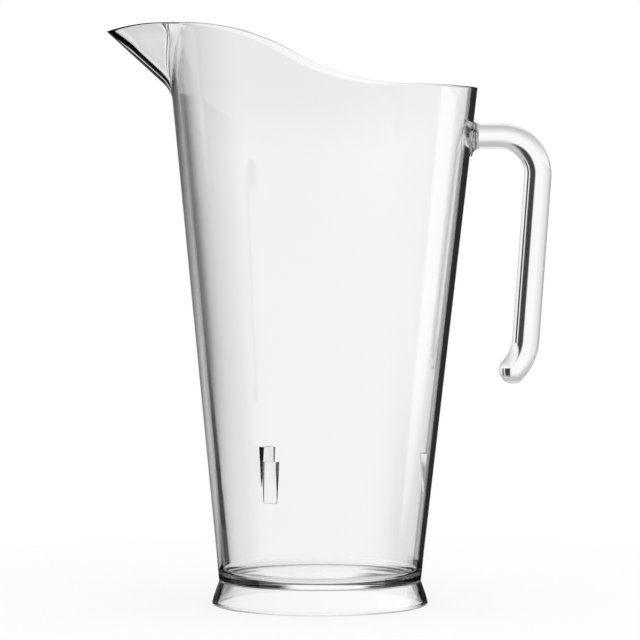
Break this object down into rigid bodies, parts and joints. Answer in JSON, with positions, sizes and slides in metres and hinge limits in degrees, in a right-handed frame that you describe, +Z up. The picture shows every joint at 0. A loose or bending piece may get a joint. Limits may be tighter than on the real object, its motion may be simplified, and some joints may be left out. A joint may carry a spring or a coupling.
{
  "type": "cocktail jug",
  "caption": "Clear plastic open jug with a tapered round body, swept rim and pulled beak, an open hook handle, a hollow flared foot and inner lugs for stacking.",
  "frame": {"origin": "on the table under the middle of the jug's outline, halfway between beak tip and handle; the foot's centre is 4.4 mm from it towards the beak", "axes": "+Z up, -X towards the beak, +X towards the handle, +Y to the left of someone who looks from the beak to the handle"},
  "size_m": [0.2064, 0.1438, 0.2697],
  "materials": {
    "clear_plastic": "colourless, water clear, polished moulded polycarbonate"
  },
  "bodies": {
    "root": {"jug_body": "clear_plastic", "handle": "clear_plastic", "foot_ring": "clear_plastic", "stacking_lug_handle_side": "clear_plastic", "stacking_lug_front": "clear_plastic", "stacking_lug_back": "clear_plastic"}
  },
  "joints": []
}
